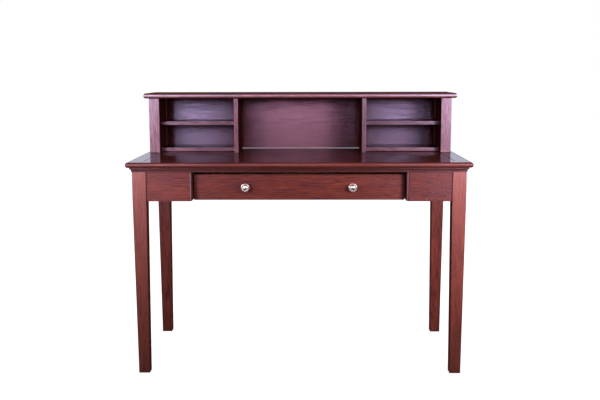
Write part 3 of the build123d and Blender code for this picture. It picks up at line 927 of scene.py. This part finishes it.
def glideOf(tree, value, places, levels):
    values = {"Value": value, "From Min": places[0], "From Max": places[1]}
    values.update({"To Min": levels[0], "To Max": levels[1]})
    return addNode(tree, "MapRange", values).outputs["Result"]


def glowOf(tree, colour, strength):
    return addNode(tree, "Emission", {"Color": colour, "Strength": strength}).outputs[0]


def stagePiece(name, bm):
    mesh = bpy.data.meshes.new(name)
    bm.to_mesh(mesh)
    bm.free()
    piece = bpy.data.objects.new(name, mesh)
    bpy.context.scene.collection.objects.link(piece)
    return piece


# Floor: the camera sees it near white, darker under and around the desk where its glow is dimmed as painted
# shade; everything else sees dull paper

floorSettings = {
    "size": 14.0,
    "drop": 0.2 * mm,  # so that the feet don't lie in the floor's own plane
    # From the first distance out to the second, the camera's glow rises to full: painted shade round the desk
    "fadeFrom": (0.6, 1.3),
    "glow": (0.84, 1.0),
    "lit": (0.55, 0.55, 0.55, 1.0),
    "dull": (0.16, 0.16, 0.16, 1.0),
}
bm = bmesh.new()
bmesh.ops.create_grid(bm, x_segments=1, y_segments=1, size=floorSettings["size"] / 2)
bmesh.ops.translate(bm, vec=(0, 0, -floorSettings["drop"]), verts=bm.verts)
floor = stagePiece("floor", bm)
floorMaterial, tree, shader = newMaterial("floorPaper")
tree.nodes.remove(shader)
path = addNode(tree, "LightPath")
place = addNode(tree, "TexCoord").outputs["Object"]
fromDesk = addNode(tree, "VectorMath", {0: place}, operation="LENGTH").outputs["Value"]
glow = glowOf(tree, white, glideOf(tree, fromDesk, floorSettings["fadeFrom"], floorSettings["glow"]))
lit = addNode(tree, "BsdfDiffuse", {"Color": floorSettings["lit"]}).outputs[0]
paper = addNode(tree, "AddShader", {0: lit, 1: glow}).outputs[0]
dull = addNode(tree, "BsdfDiffuse", {"Color": floorSettings["dull"]}).outputs[0]
shown = addNode(tree, "MixShader", {0: path.outputs["Is Camera Ray"], 1: dull, 2: paper}).outputs[0]
tree.links.new(shown, tree.nodes["Material Output"].inputs["Surface"])
floor.data.materials.append(floorMaterial)


# Cards that only gloss shows: in front two soft boxes, a dimmer cloth between them and a weaker box
# outside each, and one card on each side

frontCards = {
    "away": -2.0,
    "boxLevel": 12.9,
    "boxSides": (-0.885, 0.750),
    "boxHeights": (1.06, 1.75),
    "boxMiddle": -0.046,
    "boxInnerEdge": (0.46, 0.48),
    "boxOuterFades": (0.06, 0.02),
    "boxGlide": (0.42, 0.72),
    "boxGlideLevels": (0.35, 1.2),
    "cloth": (1.0, 0.63, 0.68, 1.0),
    "clothLevel": 10.9,
    "clothMiddle": -0.064,
    "clothEdge": (0.28, 0.235),
    "outerLevel": 6.5,
    "outerSides": (0.99, 1.40),
    "outerHeights": (0.62, 1.60),
    "outerFade": 0.04,
    "heightFades": (0.12, 0.25),
}
sideCards = {
    "out": 1.5,
    "depths": (-1.4, -0.2),
    "heights": (0.2, 1.5),
    "fade": 0.25,
    "level": 4.5,
}


def glossCard(name, quads):
    bm = bmesh.new()
    for corners in quads:
        bm.faces.new([bm.verts.new(corner) for corner in corners])
    card = stagePiece(name, bm)
    for ray in ("camera", "diffuse", "transmission", "volume_scatter", "shadow"):
        setattr(card, "visible_" + ray, False)
    material, tree, shader = newMaterial(name + "Cloth")
    material.cycles.emission_sampling = "NONE"
    tree.nodes.remove(shader)
    card.data.materials.append(material)
    place = addNode(tree, "SeparateXYZ", {0: addNode(tree, "TexCoord").outputs["Object"]})
    return tree, place.outputs


def withinOf(tree, value, ends, fades):
    # 1 between the two ends and 0 past them, with a soft edge inside each
    rising = between(tree, value, ends[0], ends[0] + fades[0])
    return product(tree, rising, between(tree, value, ends[1], ends[1] - fades[1]))


def awayFrom(tree, value, middle):
    return mathsOf(tree, "ABSOLUTE", mathsOf(tree, "SUBTRACT", value, middle))


away = frontCards["away"]
outerStart, edge = frontCards["outerSides"]
low, high = frontCards["outerHeights"][0], frontCards["boxHeights"][1]
corners = [(-edge, away, low), (edge, away, low), (edge, away, high), (-edge, away, high)]
tree, place = glossCard("reflector", [corners])
fades = frontCards["heightFades"]
upright = withinOf(tree, place["Z"], frontCards["boxHeights"], fades)
sideways = awayFrom(tree, place["X"], frontCards["boxMiddle"])
boxes = product(
    tree,
    between(tree, sideways, *frontCards["boxInnerEdge"]),
    upright,
    withinOf(tree, place["X"], frontCards["boxSides"], frontCards["boxOuterFades"]),
    glideOf(tree, sideways, frontCards["boxGlide"], frontCards["boxGlideLevels"]),
    frontCards["boxLevel"],
)
outer = product(
    tree,
    between(tree, awayFrom(tree, place["X"], 0.0), outerStart, outerStart + frontCards["outerFade"]),
    withinOf(tree, place["Z"], frontCards["outerHeights"], fades),
    frontCards["outerLevel"],
)
boxGlow = glowOf(tree, boxColour, mathsOf(tree, "ADD", boxes, outer))
fromClothMiddle = awayFrom(tree, place["X"], frontCards["clothMiddle"])
clothEdge = between(tree, fromClothMiddle, *frontCards["clothEdge"])
cloth = product(tree, clothEdge, upright, frontCards["clothLevel"])
clothGlow = glowOf(tree, frontCards["cloth"], cloth)
frontGlow = addNode(tree, "AddShader", {0: boxGlow, 1: clothGlow}).outputs[0]
tree.links.new(frontGlow, tree.nodes["Material Output"].inputs["Surface"])

near, far = sideCards["depths"]
low, high = sideCards["heights"]
out = sideCards["out"]
quads = [[(x, near, low), (x, far, low), (x, far, high), (x, near, high)] for x in (-out, out)]
tree, place = glossCard("sideCards", quads)
fades = (sideCards["fade"], sideCards["fade"])
sideGlow = product(
    tree,
    withinOf(tree, place["Y"], sideCards["depths"], fades),
    withinOf(tree, place["Z"], sideCards["heights"], fades),
    sideCards["level"],
)
tree.links.new(glowOf(tree, boxColour, sideGlow), tree.nodes["Material Output"].inputs["Surface"])


# Surroundings: the camera sees white; gloss sees a dark room and the white backdrop low behind the desk

worldSettings = {
    "ambient": (0.90, 0.93, 1.0, 1.0),
    "ambientGlide": (-0.1, 0.4),
    "ambientLevels": (0.25, 0.9),
    "darkRoom": (0.02, 0.02, 0.03, 1.0),
    "backdrop": (2.2, 2.3, 2.8, 1.0),
    "backdropTurn": (0.0, 0.3),
    "backdropTop": (0.14, 0.12),
    "backdropFoot": (0.07, 0.085),
}
world = bpy.data.worlds.new("studio")
bpy.context.scene.world = world
world.use_nodes = True
world.cycles.sampling_method = "NONE"
tree = world.node_tree
tree.nodes.clear()
path = addNode(tree, "LightPath")
direction = addNode(tree, "SeparateXYZ", {0: addNode(tree, "TexCoord").outputs["Generated"]}).outputs
behind = product(
    tree,
    between(tree, direction["Y"], *worldSettings["backdropTurn"]),
    between(tree, direction["Z"], *worldSettings["backdropTop"]),
    between(tree, direction["Z"], *worldSettings["backdropFoot"]),
)
mirrored = mixColours(tree, behind, worldSettings["darkRoom"], worldSettings["backdrop"])
level = glideOf(tree, direction["Y"], worldSettings["ambientGlide"], worldSettings["ambientLevels"])
ambient = addNode(tree, "Background", {"Color": worldSettings["ambient"], "Strength": level}).outputs[0]
inGloss = addNode(tree, "Background", {"Color": mirrored, "Strength": 1.0}).outputs[0]
byCamera = addNode(tree, "Background", {"Color": white, "Strength": 1.0}).outputs[0]
glossOrGlass = mathsOf(tree, "MAXIMUM", path.outputs["Is Glossy Ray"], path.outputs["Is Transmission Ray"])
lighting = addNode(tree, "MixShader", {0: glossOrGlass, 1: ambient, 2: inGloss}).outputs[0]
shown = addNode(tree, "MixShader", {0: path.outputs["Is Camera Ray"], 1: lighting, 2: byCamera}).outputs[0]
addNode(tree, "OutputWorld", {"Surface": shown})


# Camera: in front, a little above the hutch and looking slightly down

cameraSettings = {
    "place": (0.0391, -3.3234, 1.0830),
    "down": 0.1446,  # turns are in radians
    "left": 0.01165,
    "roll": -0.00208,
    "lens": 52.08,
}
cameraData = bpy.data.cameras.new("camera")
cameraData.sensor_fit = "HORIZONTAL"
cameraData.sensor_width = 36.0
cameraData.lens = cameraSettings["lens"]
camera = bpy.data.objects.new("camera", cameraData)
turn = Matrix.Rotation(cameraSettings["left"], 4, "Z")
tilt = Matrix.Rotation(math.pi / 2 - cameraSettings["down"], 4, "X")
roll = Matrix.Rotation(cameraSettings["roll"], 4, "Z")
camera.matrix_world = Matrix.Translation(cameraSettings["place"]) @ turn @ tilt @ roll
bpy.context.scene.collection.objects.link(camera)
bpy.context.scene.camera = camera
bpy.context.scene.view_settings.view_transform = "Standard"
print("studio ready")
